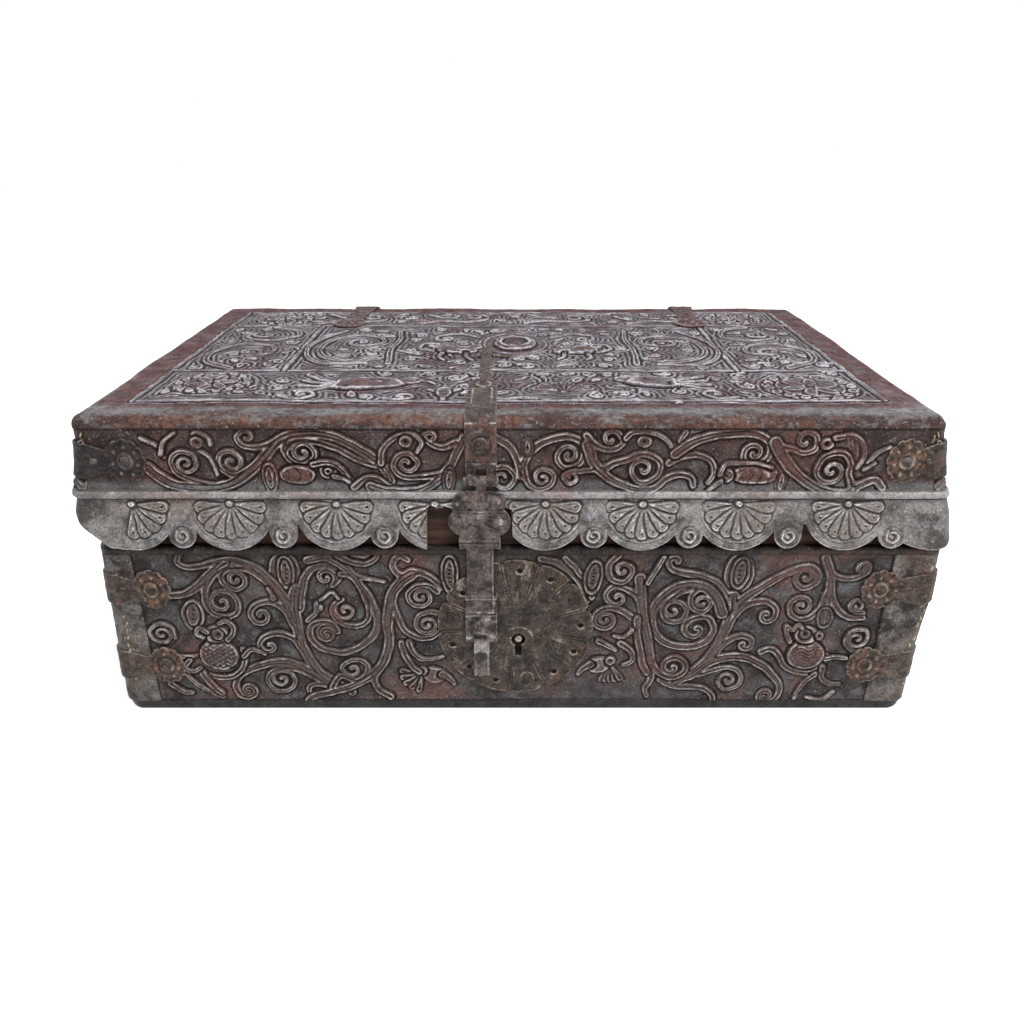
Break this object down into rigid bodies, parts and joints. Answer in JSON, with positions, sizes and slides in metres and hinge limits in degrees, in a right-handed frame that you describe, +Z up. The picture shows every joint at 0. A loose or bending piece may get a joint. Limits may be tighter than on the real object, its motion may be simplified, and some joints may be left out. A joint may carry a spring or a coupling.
{
  "type": "leather trunk",
  "caption": "Low rectangular travelling trunk of wooden boards under tooled leather, with a hinged lid, scalloped skirt, round lock plate, swinging hasp and iron corner straps.",
  "frame": {"origin": "on the floor under the middle of the closed trunk", "axes": "+X to the right seen from the front, +Y to the back, +Z up"},
  "size_m": [0.738, 0.4555, 0.2955],
  "materials": {
    "cedar": "dry, unfinished, darkened",
    "pegs": "dry, unfinished",
    "wall_leather": "tooled, worn and dusty",
    "top_leather": "tooled, worn, grey with dust",
    "skirt_leather": "tooled, dry and grey",
    "binding_leather": "worn, matt",
    "strap_iron": "forged, brown with rust",
    "lock_iron": "forged, brown patina"
  },
  "bodies": {
    "base": {"base_back_board": "cedar", "base_back_leather": "wall_leather", "base_board_pegs": "pegs", "base_bottom_board": "cedar", "base_bottom_leather": "wall_leather", "base_corner_straps_front_left": "strap_iron", "base_corner_straps_front_right": "strap_iron", "base_corner_straps_rear_left": "strap_iron", "base_corner_straps_rear_right": "strap_iron", "base_corner_strip_front_left": "binding_leather", "base_corner_strip_front_right": "binding_leather", "base_corner_strip_rear_left": "binding_leather", "base_corner_strip_rear_right": "binding_leather", "base_edge_strips": "binding_leather", "base_front_board": "cedar", "base_front_leather": "wall_leather", "base_left_board": "cedar", "base_left_leather": "wall_leather", "base_right_board": "cedar", "base_right_leather": "wall_leather", "base_strap_nails": "strap_iron", "hinge_pins": "strap_iron", "left_hinge_base_strap": "strap_iron", "lock_bolt_guides": "lock_iron", "lock_case": "lock_iron", "lock_key_pin": "lock_iron", "lock_plate": "lock_iron", "lock_plate_nails": "strap_iron", "lock_spring": "lock_iron", "right_hinge_base_strap": "strap_iron"},
    "lid": {"lid_back_board": "cedar", "lid_back_leather": "wall_leather", "lid_board_pegs": "pegs", "lid_corner_strap_front_left": "strap_iron", "lid_corner_strap_front_right": "strap_iron", "lid_corner_strap_rear_left": "strap_iron", "lid_corner_strap_rear_right": "strap_iron", "lid_front_board": "cedar", "lid_front_leather": "wall_leather", "lid_front_skirt": "skirt_leather", "lid_left_board": "cedar", "lid_left_leather": "wall_leather", "lid_left_skirt": "skirt_leather", "lid_right_board": "cedar", "lid_right_leather": "wall_leather", "lid_right_skirt": "skirt_leather", "lid_strap_nails": "strap_iron", "lid_top_board": "cedar", "lid_top_leather": "top_leather", "lid_welts": "skirt_leather", "left_hinge_lid_strap": "strap_iron", "right_hinge_lid_strap": "strap_iron", "hasp_strap": "strap_iron", "hasp_strap_nails": "strap_iron", "hasp_hinge_pin": "strap_iron"},
    "hasp": {"hasp": "strap_iron", "hasp_staple": "strap_iron"},
    "lock_bolt": {"lock_bolt": "lock_iron"}
  },
  "joints": [
    {"name": "lid_hinge", "type": "hinge", "parent": "base", "child": "lid", "pos_m": [0, 0.2223, 0.212], "axis": [-1, 0, 0], "range_deg": [0, 105]},
    {"name": "hasp_hinge", "type": "hinge", "parent": "lid", "child": "hasp", "pos_m": [-0.026, -0.2217, 0.236], "axis": [-1, 0, 0], "range_deg": [0, 150]},
    {"name": "lock_bolt_slide", "type": "slide", "parent": "base", "child": "lock_bolt", "axis": [-1, 0, 0], "range_m": [0, 0.01]}
  ]
}
